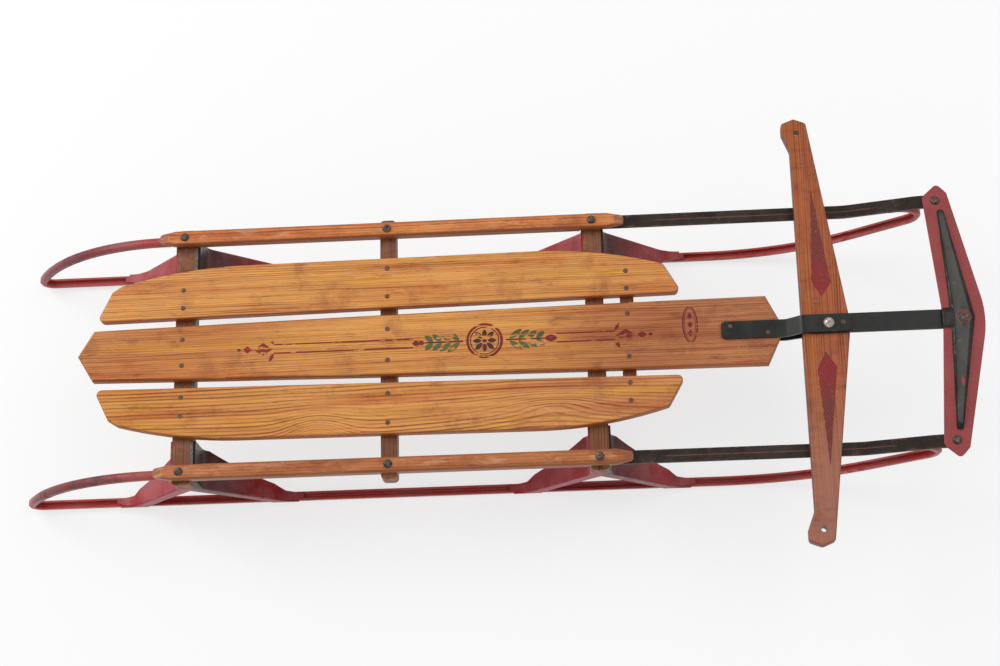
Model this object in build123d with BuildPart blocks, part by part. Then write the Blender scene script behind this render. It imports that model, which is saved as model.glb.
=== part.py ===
from build123d import *
import math
import os

os.makedirs("parts", exist_ok=True)

# A steerable runner sled: a deck of three boards on three cross beams, four pressed
# steel knees on two long steel runners, and a front of spring steel bars.
# X runs forward, Y to the rider's left and Z up from the snow, in millimetres.

# Layout of the frame
track_half = 144.0
middle_beam_x = -115.8
deck_underside = 137.0
running_gap = 0.3
cut_over = 2.0

# Side rails of wood, bolted over the beam ends
rail_width = 18.0
rail_thickness = 13.0
rail_rear_reach = 31.0
rail_front_reach = 38.0
rail_end_taper = 4.0
rail_end_run = 20.0
rail_end_corner = 3.5
rail_end_slope_run = 12.0
rail_end_slope_drop = 5.0
rail_edge = 4.0

# Deck boards
board_thickness = 11.0
board_edge = 2.5
deck_top = deck_underside + board_thickness
outer_length = 693.0
outer_rear_overhang = 104.0
outer_front_overhang = 103.0
outer_inner_rear = 41.5
outer_inner_front = 50.0
hand_gap = 27.5
outer_edge = track_half - rail_width / 2 - hand_gap
outer_corner = 6.0
# columns: share of the board's length, share of the way from deck middle to its outer edge
outer_rear_corner_share = (0.026, 0.735)
outer_rear_shoulder_share = (0.042, 0.800)
outer_rear_bend_share = (0.146, 0.940)
outer_rear_full_share = (0.243, 0.990)
outer_front_full_share = (0.745, 1.012)
outer_front_bend_share = (0.864, 0.960)
outer_front_corner_share = (0.970, 0.806)
beam_spacing = (outer_length - outer_rear_overhang - outer_front_overhang) / 2
rear_beam_x = middle_beam_x - beam_spacing
front_beam_x = middle_beam_x + beam_spacing
outer_rear_x = rear_beam_x - outer_rear_overhang
centre_rear_overhang = 106.0
centre_front_overhang = 198.5
centre_rear_x = rear_beam_x - centre_rear_overhang
centre_front_x = front_beam_x + centre_front_overhang
centre_length = centre_front_x - centre_rear_x
centre_rear_half = 31.0
centre_front_half = 41.5
centre_bow = 1.6
centre_rear_point = 18.5
centre_front_point = 20.0
centre_tip_x = centre_front_x + centre_front_point

# Cross beams and the short cleat at the front of the deck
beam_width = 21.5
beam_depth = 19.0
middle_beam_width = 19.0
beam_end_reach = 13.0
middle_end_reach = 15.0
beam_half_length = track_half + beam_end_reach
middle_half_length = track_half + middle_end_reach
beam_corner = 5.0
beam_underside = deck_underside - beam_depth
cleat_ahead = 38.0
cleat_width = 16.0
cleat_depth = 12.0
cleat_under_board = 34.0
cleat_half_length = outer_inner_front + cleat_under_board
strip_thickness = 3.0
strip_depth = 16.0

# Spring steel side bars that carry the bumper
bar_width = 15.5
bar_thickness = 3.0
bar_tail = 12.0
bar_rise_ahead = 30.0
bar_rise_run = 84.0
bar_rise = 21.3
bar_bend = 60.0
bar_nose = 12.0
bar_corner = 5.0

# Steering bar and its pivot
steer_thickness = 14.5
steer_over_bars = 4.0
steer_underside = deck_underside + bar_thickness + steer_over_bars
steer_top = steer_underside + steer_thickness
steer_half_length = 258.0
steer_rear_half = 30.5
steer_front_half = 25.5
steer_tip_back = 23.7
steer_grip_back = 39.0
steer_tip_corner_share = 0.977
steer_grip_share = 0.928
steer_neck_share = 0.842
steer_corner_back = 9.4
steer_corner = 5.0
steer_edge = 2.5
board_to_steer = 19.0
pivot_x = centre_tip_x + board_to_steer + steer_rear_half
rope_hole_radius = 3.4
rope_hole_back = 21.5
rope_hole_in = 19.0
rope_hole_out = steer_half_length - rope_hole_in

# Steering link from the bar to the bumper
link_width = 23.0
link_thickness = 2.5
link_tail = 24.0
link_nose = 13.0
link_corner = 5.0
link_underside = steer_top
link_top = link_underside + link_thickness

# Bumper pressed from sheet
bumper_pin_ahead = 152.0
bumper_pin_x = pivot_x + bumper_pin_ahead
bumper_sheet = 2.5
bumper_underside = link_top + running_gap
bumper_bolt_back = 19.5
bumper_bolt_x = bumper_pin_x - bumper_bolt_back
bumper_front_reach = 27.9
bumper_front_bow = 120.0
bumper_rear_reach = 22.0
bumper_end_reach = 20.5
bumper_shoulder_reach = 9.0
bumper_shoulder_back = 5.5
bumper_tip_back = 16.5
bumper_heel_reach = 5.0
bumper_heel_back = 34.0
bumper_corner = 5.0
ridge_height = 5.0
ridge_half_width = 14.0
ridge_end_half_width = 4.0
ridge_end_short = 11.0
ridge_end_back = 15.0
ridge_inner_end_short = 4.0
ridge_end_round_share = 0.8
ridge_top_share = 0.6
ridge_top_length_share = 0.97
boss_half_width = 12.5
boss_top_share = 0.8
boss_height = 4.2
boss_rear_ledge = 1.5
eyelet_radius = 4.0
eyelet_bore = 2.5
eyelet_flange = 6.5
eyelet_lip = 1.0
slot_play = 3.0
slot_gap = 0.6

# Straps that hold the steering bar over and under the centre board
strap_width = 21.0
strap_thickness = 3.0
strap_hold = 53.0
strap_front_ahead = 25.0
strap_corner = 5.0
strap_lift_gap = 3.0
strap_lift_run = 17.0
strap_bend = 4.0

# Bolts
bolt_radius = 3.0
bolt_head_radius = 5.0
bolt_head_height = 3.0
nut_share = 1.8
dome_share = 0.9
nut_height = 4.0
pivot_radius = 4.0
pivot_head_radius = 6.0
pivot_head_height = 4.5

# Runners, a grooved steel section bent to shape
runner_width = 10.5
runner_height = 7.5
runner_wall = 2.5
runner_foot_half = 3.0
runner_cheek_share = 1 / 3
runner_groove_share = 1 / 2
runner_loop_turn = 63.3
runner_tip_radius = 16.0
runner_end_run = 2.0
runner_tab_reach = 9.5
runner_end_x = rear_beam_x - beam_width / 2 - runner_tab_reach
runner_front_turn = 36.0
runner_front_bend = 300.0
runner_hook_back = 39.5
runner_hook_radius = 28.0
runner_hook_tail = 7.0
runner_tab = 3.0
runner_half_turn = 180.0

# Knees pressed from sheet, arched over the runner with a saddle for the beam
knee_sheet = 2.4
knee_out = 7.2
knee_flange_in = 40.0
knee_flange_lean = 6.0
knee_foot_in = 6.0
knee_toe_in = 3.0
knee_toe_out = 2.0
knee_top_drop = 3.0
knee_shoulder_drop = 48.0
knee_top = deck_underside - knee_top_drop
knee_shoulder = deck_underside - knee_shoulder_drop
knee_top_bend = 20.0
knee_foot_bend = 40.0
knee_foot_length = 22.0
knee_web_depth = 14.0
knee_arch_gap = 36.0
knee_arch_top = beam_underside - knee_arch_gap
knee_arch_share = (0.46, 0.47)
knee_flare_share = 0.72
knee_flare_in = 13.0
knee_bulge_share = (0.375, 0.45)
knee_crest = 2.0
knee_rear_back = 106.0
knee_rear_ahead = 124.0
knee_front_back = 112.0
knee_front_ahead = 112.0


# Beams, with the rail bolts' holes near their ends
# columns: node name, place along the sled, depth, width, half length
beam_table = [
    ("rear_beam", rear_beam_x, beam_depth, beam_width, beam_half_length),
    ("middle_beam", middle_beam_x, beam_depth, middle_beam_width, middle_half_length),
    ("front_beam", front_beam_x, beam_depth, beam_width, beam_half_length),
    ("front_cleat", front_beam_x + cleat_ahead, cleat_depth, cleat_width, cleat_half_length),
]
for name, beam_x, depth, width, half_length in beam_table:
    with BuildPart() as beam:
        with BuildSketch(Plane.XY.offset(deck_underside - depth)):
            with Locations((beam_x, 0)):
                Rectangle(width, 2 * half_length)
        extrude(amount=depth)
        fillet(beam.edges().filter_by(Axis.Z), beam_corner)
        if name != "front_cleat":
            with Locations(
                Plane.XY.offset(deck_underside) * Pos(beam_x, track_half),
                Plane.XY.offset(deck_underside) * Pos(beam_x, -track_half),
            ):
                Hole(bolt_radius)
    beam.part.label = name
    export_step(beam.part, f"parts/{name}.step")

# The steel strip along the front face of the rear beam
with BuildPart() as strip:
    with BuildSketch(Plane.XY.offset(deck_underside - strip_depth)):
        with Locations((rear_beam_x + beam_width / 2 + strip_thickness / 2, 0)):
            Rectangle(strip_thickness, 2 * (beam_half_length - beam_corner))
    extrude(amount=strip_depth)
strip.part.label = "rear_beam_strip"
export_step(strip.part, "parts/rear_beam_strip.step")

# Centre board, pointed at both ends and a little bowed along its sides
with BuildPart() as centre:
    with BuildSketch(Plane.XY.offset(deck_underside)):
        with BuildLine():
            middle_half = (centre_rear_half + centre_front_half) / 2 + centre_bow
            rear_left = (centre_rear_x, centre_rear_half)
            front_left = (centre_front_x, centre_front_half)
            left_side = ThreePointArc(
                rear_left, (centre_rear_x + centre_length / 2, middle_half), front_left
            )
            front_tip = (centre_tip_x, 0)
            rear_tip = (centre_rear_x - centre_rear_point, 0)
            Line(front_left, front_tip)
            Line(rear_tip, rear_left)
            mirror(about=Plane.XZ)
        make_face()
    extrude(amount=board_thickness)
    fillet(centre.faces().sort_by(Axis.Z)[-1].edges(), board_edge)
centre.part.label = "deck_slat_centre"
export_step(centre.part, "parts/deck_slat_centre.step")


# Outer boards, straight along the middle and rounded away at both ends
def outer_point(share):
    return (outer_rear_x + share[0] * outer_length, share[1] * outer_edge)


with BuildPart() as outer_left:
    with BuildSketch(Plane.XY.offset(deck_underside)) as outer_face:
        with BuildLine():
            rear_inner = (outer_rear_x, outer_inner_rear)
            front_inner = (outer_rear_x + outer_length, outer_inner_front)
            Polyline(
                rear_inner,
                outer_point(outer_rear_corner_share),
                outer_point(outer_rear_shoulder_share),
            )
            ThreePointArc(
                outer_point(outer_rear_shoulder_share),
                outer_point(outer_rear_bend_share),
                outer_point(outer_rear_full_share),
            )
            Line(outer_point(outer_rear_full_share), outer_point(outer_front_full_share))
            ThreePointArc(
                outer_point(outer_front_full_share),
                outer_point(outer_front_bend_share),
                outer_point(outer_front_corner_share),
            )
            Polyline(outer_point(outer_front_corner_share), front_inner, rear_inner)
        make_face()
        ends = outer_face.vertices().sort_by(Axis.X)
        fillet([ends[0], ends[-1], ends[-2]], outer_corner)
    extrude(amount=board_thickness)
    fillet(outer_left.faces().sort_by(Axis.Z)[-1].edges(), board_edge)
outer_left.part.label = "deck_slat_left"
export_step(outer_left.part, "parts/deck_slat_left.step")
with BuildPart() as outer_right:
    mirror(outer_left.part, about=Plane.XZ)
outer_right.part.label = "deck_slat_right"
export_step(outer_right.part, "parts/deck_slat_right.step")

# Side rails, rebated underneath where the runner end and the side bar tuck in
rail_rear_x = rear_beam_x - rail_rear_reach
rail_front_x = front_beam_x + rail_front_reach
rail_top = deck_underside + rail_thickness
rear_rebate_end = rear_beam_x + beam_width / 2 + strip_thickness
front_rebate_start = front_beam_x - bar_tail - cut_over
with BuildPart() as rail_left:
    with BuildSketch(Plane.XY.offset(deck_underside)) as rail_face:
        half = rail_width / 2
        end_half = half - rail_end_taper
        half_outline = [
            (rail_rear_x, end_half),
            (rail_rear_x + rail_end_run, half),
            (rail_front_x - rail_end_run, half),
            (rail_front_x, end_half),
        ]
        with BuildLine(Plane.XY.offset(deck_underside) * Pos(0, track_half)):
            Polyline(
                *half_outline, *[(x, -y) for x, y in reversed(half_outline)], close=True
            )
        make_face()
        ends = rail_face.vertices().group_by(Axis.X)
        fillet([*ends[0], *ends[-1]], rail_end_corner)
    extrude(amount=rail_thickness)
    fillet(rail_left.faces().sort_by(Axis.Z)[-1].edges(), rail_edge)
    # The tops of both ends are sloped down
    with BuildSketch(Plane.XZ.offset(-track_half)):
        for end_x, inward in ((rail_rear_x, 1), (rail_front_x, -1)):
            with BuildLine():
                Polyline(
                    (end_x + inward * rail_end_slope_run, rail_top),
                    (end_x, rail_top - rail_end_slope_drop),
                    (end_x - inward * cut_over, rail_top - rail_end_slope_drop),
                    (end_x - inward * cut_over, rail_top + cut_over),
                    (end_x + inward * rail_end_slope_run, rail_top + cut_over),
                    close=True,
                )
            make_face()
    extrude(amount=rail_width, both=True, mode=Mode.SUBTRACT)
    with BuildSketch(Plane.XY.offset(deck_underside)):
        with Locations(((rail_rear_x - cut_over + rear_rebate_end) / 2, track_half)):
            Rectangle(rear_rebate_end - rail_rear_x + cut_over, rail_width + cut_over)
        with Locations(((rail_front_x + cut_over + front_rebate_start) / 2, track_half)):
            Rectangle(rail_front_x + cut_over - front_rebate_start, rail_width + cut_over)
    extrude(amount=bar_thickness, mode=Mode.SUBTRACT)
    with Locations(
        *[
            Plane.XY.offset(rail_top) * Pos(beam_x, track_half)
            for beam_x in (rear_beam_x, middle_beam_x, front_beam_x)
        ]
    ):
        Hole(bolt_radius)
rail_left.part.label = "side_rail_left"
export_step(rail_left.part, "parts/side_rail_left.step")
with BuildPart() as rail_right:
    mirror(rail_left.part, about=Plane.XZ)
rail_right.part.label = "side_rail_right"
export_step(rail_right.part, "parts/side_rail_right.step")

# Side bars rise in an S to the bumper. Their underside there is a line at rise_slope.
bar_tip_underside = deck_underside + bar_rise
rise_x = pivot_x + bar_rise_ahead
rise_slope = math.atan(bar_rise / bar_rise_run)

# Runners: one grooved section swept along its running face. At the rear it leaves the
# rail in a wide arc, turns round a tight tip and runs level. At the front it climbs to
# a hook that ends a running gap under the side bar.
runner_top_z = deck_underside + runner_tab
loop_turn = math.radians(runner_loop_turn)
front_turn = math.radians(runner_front_turn)
tip_depth = runner_tip_radius * (1 + math.cos(loop_turn))
loop_radius = (runner_top_z - tip_depth) / (1 - math.cos(loop_turn))
hook_x = bumper_bolt_x - runner_hook_back
hook_top_z = deck_underside + (hook_x - rise_x) * math.tan(rise_slope) - running_gap
hook_z = hook_top_z - runner_hook_radius / math.cos(rise_slope)
climb_end_x = hook_x + runner_hook_radius * math.sin(front_turn)
climb_end_z = hook_z - runner_hook_radius * math.cos(front_turn)
climb_corner_x = climb_end_x - climb_end_z / math.tan(front_turn)
climb_start_x = climb_corner_x - runner_front_bend * math.tan(front_turn / 2)
with BuildLine() as side_view:
    end_run = Line((runner_end_x, runner_top_z), (runner_end_x - runner_end_run, runner_top_z))
    loop = JernArc(end_run @ 1, end_run % 1, loop_radius, runner_loop_turn)
    tip = JernArc(loop @ 1, loop % 1, runner_tip_radius, runner_half_turn - runner_loop_turn)
    level = Line(tip @ 1, (climb_start_x, 0))
    front_bend = JernArc(level @ 1, level % 1, runner_front_bend, runner_front_turn)
    climb = Line(front_bend @ 1, (climb_end_x, climb_end_z))
    hook_turn = runner_half_turn - runner_front_turn + math.degrees(rise_slope)
    hook = JernArc(climb @ 1, climb % 1, runner_hook_radius, hook_turn)
    Line(hook @ 1, hook @ 1 + (hook % 1) * runner_hook_tail)
running_face = Plane.XZ.offset(-track_half) * side_view.wire()
with BuildPart() as runner_left:
    start = running_face @ 0
    heading = running_face % 0
    with BuildSketch(Plane(origin=start, x_dir=(0, 1, 0), z_dir=heading)) as section:
        with BuildLine():
            half = runner_width / 2
            Polyline(
                (-runner_foot_half, 0),
                (runner_foot_half, 0),
                (half, runner_height * runner_cheek_share),
                (half, runner_height),
                (half - runner_wall, runner_height),
                (half - runner_wall, runner_height * runner_groove_share),
                (runner_foot_half - runner_wall, runner_wall),
                (runner_wall - runner_foot_half, runner_wall),
                (runner_wall - half, runner_height * runner_groove_share),
                (runner_wall - half, runner_height),
                (-half, runner_height),
                (-half, runner_height * runner_cheek_share),
                (-runner_foot_half, 0),
            )
        make_face()
    sweep(path=running_face)
    with BuildSketch(Plane.XY.offset(deck_underside)):
        tab_start = runner_end_x - runner_tab
        tab_end = rear_beam_x + beam_width / 2
        with Locations(((tab_start + tab_end) / 2, track_half)):
            Rectangle(tab_end - tab_start, runner_width)
    extrude(amount=runner_tab)
    with Locations(Plane.XY.offset(runner_top_z) * Pos(rear_beam_x, track_half)):
        Hole(bolt_radius, depth=runner_tab + cut_over)
runner_left.part.label = "runner_left"
export_step(runner_left.part, "parts/runner_left.step")
with BuildPart() as runner_right:
    mirror(runner_left.part, about=Plane.XZ)
runner_right.part.label = "runner_right"
export_step(runner_right.part, "parts/runner_right.step")

# Knees. Each leg is a band of sheet that starts upright against the beam, flares out
# and lands flat on the runner; a web closes its outer side and a saddle carries the beam.
foot_level = runner_height
inner_y = track_half - knee_flange_in
outer_y = track_half + knee_out
# columns: name, beam place, beam's rear face and front face from it, reach back, reach forward
knee_table = [
    (
        "knee_rear",
        rear_beam_x,
        beam_width / 2,
        beam_width / 2 + strip_thickness,
        knee_rear_back,
        knee_rear_ahead,
    ),
    (
        "knee_front",
        front_beam_x,
        beam_width / 2,
        beam_width / 2,
        knee_front_back,
        knee_front_ahead,
    ),
]
for name, beam_x, rear_face, front_face, reach_back, reach_front in knee_table:
    with BuildPart() as knee:
        for direction, face, reach in ((-1, rear_face, reach_back), (1, front_face, reach_front)):
            # The band, seen from the side
            with BuildSketch(Plane.XZ.offset(-inner_y)):
                with BuildLine() as band_line:
                    FilletPolyline(
                        (beam_x + direction * face, knee_top),
                        (beam_x + direction * face, knee_shoulder),
                        (beam_x + direction * (reach - knee_foot_length), foot_level),
                        (beam_x + direction * reach, foot_level),
                        radius=(knee_top_bend, knee_foot_bend),
                    )
                    offset(amount=knee_sheet, side=Side.LEFT if direction > 0 else Side.RIGHT)
                make_face()
            extrude(amount=-(outer_y - inner_y))
        # The plan, which narrows each leg from the beam to a pointed toe
        with BuildSketch(Plane.XY):
            for direction, face, reach in (
                (-1, rear_face, reach_back),
                (1, front_face, reach_front),
            ):
                with BuildLine():
                    flange_x = beam_x + direction * (face + knee_sheet + knee_flange_lean)
                    flare_x = beam_x + direction * reach * knee_flare_share
                    flare_y = track_half - knee_flare_in
                    bulge_x = beam_x + direction * reach * knee_bulge_share[0]
                    bulge_y = inner_y + (flare_y - inner_y) * knee_bulge_share[1]
                    foot_x = beam_x + direction * (reach - knee_foot_length)
                    end_x = beam_x + direction * (reach + cut_over)
                    Polyline((beam_x, outer_y), (beam_x, inner_y), (flange_x, inner_y))
                    ThreePointArc((flange_x, inner_y), (bulge_x, bulge_y), (flare_x, flare_y))
                    Polyline(
                        (flare_x, flare_y),
                        (foot_x, track_half - knee_foot_in),
                        (end_x, track_half - knee_toe_in),
                        (end_x, track_half + knee_toe_out),
                        (foot_x, outer_y),
                        (beam_x, outer_y),
                    )
                make_face()
        extrude(amount=deck_underside, mode=Mode.INTERSECT)
        # The web on the outer side and the saddle under the beam
        for direction, face, reach in ((-1, rear_face, reach_back), (1, front_face, reach_front)):
            with BuildSketch(Plane.XZ.offset(-outer_y)):
                with BuildLine():
                    foot_x = beam_x + direction * (reach - knee_foot_length)
                    heel_x = foot_x - direction * knee_web_depth
                    shoulder_x = beam_x + direction * face
                    FilletPolyline(
                        (shoulder_x, knee_top),
                        (shoulder_x, knee_shoulder),
                        (foot_x, foot_level),
                        (beam_x + direction * reach, foot_level),
                        radius=(knee_top_bend, knee_foot_bend),
                    )
                    Polyline(
                        (beam_x + direction * reach, foot_level),
                        (beam_x + direction * reach, foot_level - cut_over),
                        (heel_x, foot_level - cut_over),
                    )
                    ThreePointArc(
                        (heel_x, foot_level - cut_over),
                        (
                            heel_x + (beam_x - heel_x) * knee_arch_share[0],
                            foot_level + (knee_arch_top - foot_level) * knee_arch_share[1],
                        ),
                        (beam_x, knee_arch_top),
                    )
                    Polyline(
                        (beam_x, knee_arch_top), (beam_x, knee_top), (shoulder_x, knee_top)
                    )
                make_face()
                with Locations((beam_x, foot_level - cut_over)):
                    Rectangle(2 * reach + cut_over, 2 * cut_over, mode=Mode.SUBTRACT)
            extrude(amount=knee_sheet)
        with BuildSketch(Plane.XY.offset(beam_underside)):
            with Locations(
                (beam_x + (front_face - rear_face) / 2, (inner_y + outer_y) / 2)
            ):
                Rectangle(rear_face + front_face + 2 * knee_sheet, outer_y - inner_y)
        extrude(amount=-knee_sheet)
        # The seat of the beam and the rail bolt's hole through the saddle
        with BuildSketch(Plane.XY.offset(beam_underside)):
            with Locations(
                (beam_x + (front_face - rear_face) / 2, (inner_y + outer_y) / 2)
            ):
                Rectangle(rear_face + front_face, outer_y - inner_y + cut_over)
        extrude(amount=beam_depth, mode=Mode.SUBTRACT)
        with Locations(Plane.XY.offset(beam_underside) * Pos(beam_x, track_half)):
            Hole(bolt_radius)
        # The crests where band and web meet are rounded
        outer_lines = (
            knee.edges().filter_by(GeomType.LINE).filter_by_position(Axis.Y, outer_y, outer_y)
        )
        crests = [
            edge
            for edge in outer_lines
            if edge.length > knee_shoulder - knee_arch_gap and edge.center().Z > foot_level
        ]
        fillet(crests, knee_crest)
    knee.part.label = f"{name}_left"
    export_step(knee.part, f"parts/{name}_left.step")
    with BuildPart() as knee_right:
        mirror(knee.part, about=Plane.XZ)
    knee_right.part.label = f"{name}_right"
    export_step(knee_right.part, f"parts/{name}_right.step")

# Side bars: flat spring steel, level under the rail and lifted at the front
bar_tail_x = front_beam_x - bar_tail
bar_nose_x = bumper_bolt_x + bar_nose
with BuildPart() as bar_left:
    with BuildSketch(Plane.XZ.offset(-track_half)):
        with BuildLine():
            FilletPolyline(
                (bar_tail_x, deck_underside),
                (rise_x, deck_underside),
                (rise_x + bar_rise_run, bar_tip_underside),
                (bar_nose_x, bar_tip_underside),
                radius=(bar_bend, bar_bend),
            )
            offset(amount=bar_thickness, side=Side.LEFT)
        make_face()
    extrude(amount=bar_width / 2, both=True)
    with Locations(
        Plane.XY.offset(bar_tip_underside + bar_thickness) * Pos(front_beam_x, track_half),
        Plane.XY.offset(bar_tip_underside + bar_thickness) * Pos(bumper_bolt_x, track_half),
    ):
        Hole(bolt_radius + running_gap)
    fillet(bar_left.edges().filter_by(Axis.Z), bar_corner)
bar_left.part.label = "side_bar_left"
export_step(bar_left.part, "parts/side_bar_left.step")
with BuildPart() as bar_right:
    mirror(bar_left.part, about=Plane.XZ)
bar_right.part.label = "side_bar_right"
export_step(bar_right.part, "parts/side_bar_right.step")

# Bumper: a chevron of sheet with a hollow ridge pressed up along it, and a boss from the
# ridge to the rear edge that makes room for the link
bumper_top = bumper_underside + bumper_sheet
# columns: how far inside the outer skin, how much shorter, base level, how far the crest
# is below the outer one, mode
bumper_skins = [
    (0, 0, bumper_top, 0, Mode.ADD),
    (bumper_sheet, ridge_inner_end_short, bumper_underside, bumper_sheet, Mode.SUBTRACT),
]
with BuildPart() as bumper:
    with BuildSketch(Plane.XY.offset(bumper_underside)) as bumper_face:
        with BuildLine():
            FilletPolyline(
                (bumper_pin_x - bumper_rear_reach, 0),
                (bumper_pin_x - bumper_heel_back, track_half + bumper_heel_reach),
                (bumper_pin_x - bumper_tip_back, track_half + bumper_end_reach),
                (bumper_pin_x - bumper_shoulder_back, track_half + bumper_shoulder_reach),
                (bumper_pin_x + bumper_front_reach, 0),
                radius=(bumper_corner, bumper_corner, bumper_corner),
            )
            mirror(about=Plane.XZ)
        make_face()
        fillet(bumper_face.vertices().sort_by(Axis.X)[-1], bumper_front_bow)
    extrude(amount=bumper_sheet)
    for inset, shorter, base, lower, mode in bumper_skins:
        for level, share, length_share in (
            (base, 1, 1),
            (bumper_top + ridge_height - lower, ridge_top_share, ridge_top_length_share),
        ):
            with BuildSketch(Plane.XY.offset(level)):
                with BuildLine():
                    end_x = bumper_pin_x - ridge_end_back
                    half = (ridge_half_width - inset) * share
                    end_half = (ridge_end_half_width - inset / 2) * share
                    end_y = (track_half - ridge_end_short - shorter) * length_share
                    end_round = end_half * ridge_end_round_share
                    FilletPolyline(
                        (bumper_pin_x - half, 0),
                        (end_x - end_half, end_y),
                        (end_x + end_half, end_y),
                        (bumper_pin_x + half, 0),
                        radius=(end_round, end_round),
                    )
                    mirror(about=Plane.XZ)
                make_face()
        loft(mode=mode)
        with BuildSketch(Plane.YZ.offset(bumper_pin_x)):
            with BuildLine():
                boss_half = boss_half_width - inset
                boss_top = bumper_top + boss_height - lower
                Polyline(
                    (-boss_half, base),
                    (-boss_half * boss_top_share, boss_top),
                    (boss_half * boss_top_share, boss_top),
                    (boss_half, base),
                    close=True,
                )
            make_face()
        extrude(amount=-bumper_rear_reach - boss_rear_ledge, mode=mode)
    with Locations(
        Plane.XY.offset(bumper_top) * Pos(bumper_bolt_x, track_half),
        Plane.XY.offset(bumper_top) * Pos(bumper_bolt_x, -track_half),
    ):
        Hole(bolt_radius)
    with Locations(Plane.XY.offset(bumper_top + ridge_height) * Pos(bumper_pin_x, 0)):
        Hole(eyelet_radius)
bumper.part.label = "bumper"
export_step(bumper.part, "parts/bumper.step")

# Steering bar of wood: straight behind, peaked in front, with a rounded grip at each end
with BuildPart() as steer:
    with BuildSketch(Plane.XY.offset(steer_underside)) as steer_face:
        with BuildLine():
            corner_y = steer_half_length * steer_tip_corner_share
            grip_y = steer_half_length * steer_grip_share
            neck_y = steer_half_length * steer_neck_share
            Polyline(
                (pivot_x + steer_front_half, 0),
                (pivot_x - steer_corner_back, corner_y),
                (pivot_x - steer_tip_back, steer_half_length),
                (pivot_x - steer_grip_back, corner_y),
                (pivot_x - steer_grip_back, grip_y),
                (pivot_x - steer_rear_half, neck_y),
                (pivot_x - steer_rear_half, 0),
            )
            mirror(about=Plane.XZ)
        make_face()
        fillet(steer_face.vertices().filter_by(lambda corner: corner.Y != 0), steer_corner)
    extrude(amount=steer_thickness)
    fillet(steer.faces().sort_by(Axis.Z)[-1].edges(), steer_edge)
    fillet(steer.faces().sort_by(Axis.Z)[0].edges(), steer_edge)
    with Locations(
        Plane.XY.offset(steer_top) * Pos(pivot_x - rope_hole_back, rope_hole_out),
        Plane.XY.offset(steer_top) * Pos(pivot_x - rope_hole_back, -rope_hole_out),
    ):
        Hole(rope_hole_radius)
    with Locations(Plane.XY.offset(steer_top) * Pos(pivot_x, 0)):
        Hole(pivot_radius + running_gap)
steer.part.label = "steering_bar"
export_step(steer.part, "parts/steering_bar.step")

# Steering link: a flat bar on top of the steering bar, slotted for the bumper's eyelet
link_start = pivot_x - link_tail
link_end = bumper_pin_x + link_nose
with BuildPart() as link:
    with BuildSketch(Plane.XY.offset(link_underside)):
        with Locations(((link_start + link_end) / 2, 0)):
            RectangleRounded(link_end - link_start, link_width, link_corner)
        with Locations((pivot_x, 0)):
            Circle(pivot_radius + running_gap, mode=Mode.SUBTRACT)
        with Locations((bumper_pin_x, 0)):
            SlotCenterToCenter(
                2 * slot_play, 2 * (eyelet_radius + slot_gap), mode=Mode.SUBTRACT
            )
    extrude(amount=link_thickness)
link.part.label = "steering_link"
export_step(link.part, "parts/steering_link.step")

# Straps: the upper one climbs from the board over the steering bar, the lower one under it
strap_rear_x = centre_front_x - strap_hold
strap_front_x = pivot_x + strap_front_ahead
lift_x = centre_tip_x + strap_lift_gap
# columns: name, level on the board, level at the pivot
strap_table = [
    ("upper_strap", deck_top, link_top + running_gap),
    (
        "lower_strap",
        deck_underside - strap_thickness,
        steer_underside - running_gap - strap_thickness,
    ),
]
for name, board_level, pivot_level in strap_table:
    with BuildPart() as strap:
        with BuildSketch(Plane.XZ):
            with BuildLine():
                FilletPolyline(
                    (strap_rear_x, board_level),
                    (lift_x, board_level),
                    (lift_x + strap_lift_run, pivot_level),
                    (strap_front_x, pivot_level),
                    radius=(strap_bend, strap_bend + strap_thickness),
                )
                offset(amount=strap_thickness, side=Side.LEFT)
            make_face()
        extrude(amount=strap_width / 2, both=True)
        with Locations(Plane.XY.offset(pivot_level + strap_thickness) * Pos(pivot_x, 0)):
            Hole(pivot_radius)
        fillet(strap.edges().filter_by(Axis.Z).filter_by(GeomType.LINE), strap_corner)
    strap.part.label = name
    export_step(strap.part, f"parts/{name}.step")


# Bolts: a domed head on top, a shank and a nut below. Like bolts share one node.
knee_nut_z = beam_underside - knee_sheet
# columns: node, places, head level, nut level, shank radius, head radius, head height
bolt_table = [
    (
        "rail_bolts",
        [
            (beam_x, side * track_half)
            for beam_x in (rear_beam_x, front_beam_x)
            for side in (1, -1)
        ],
        rail_top,
        knee_nut_z,
        bolt_radius,
        bolt_head_radius,
        bolt_head_height,
    ),
    (
        "middle_bolts",
        [(middle_beam_x, side * track_half) for side in (1, -1)],
        rail_top,
        beam_underside,
        bolt_radius,
        bolt_head_radius,
        bolt_head_height,
    ),
    (
        "bumper_bolts",
        [(bumper_bolt_x, side * track_half) for side in (1, -1)],
        bumper_top,
        bar_tip_underside - running_gap,
        bolt_radius,
        bolt_head_radius,
        bolt_head_height,
    ),
    (
        "pivot_bolt",
        [(pivot_x, 0)],
        link_top + running_gap + strap_thickness,
        steer_underside - running_gap - strap_thickness,
        pivot_radius,
        pivot_head_radius,
        pivot_head_height,
    ),
]
for name, places, head_z, nut_z, shank, head, head_height in bolt_table:
    with BuildPart() as bolts:
        with BuildSketch(Plane.XY.offset(nut_z)):
            with Locations(*places):
                Circle(shank)
        extrude(amount=head_z - nut_z)
        with BuildSketch(Plane.XY.offset(head_z)):
            with Locations(*places):
                Circle(head)
        extrude(amount=head_height)
        fillet(bolts.faces().group_by(Axis.Z)[-1].edges(), head_height * dome_share)
        with BuildSketch(Plane.XY.offset(nut_z)):
            with Locations(*places):
                RegularPolygon(shank * nut_share, 6)
        extrude(amount=-nut_height)
    bolts.part.label = name
    export_step(bolts.part, f"parts/{name}.step")

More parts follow.
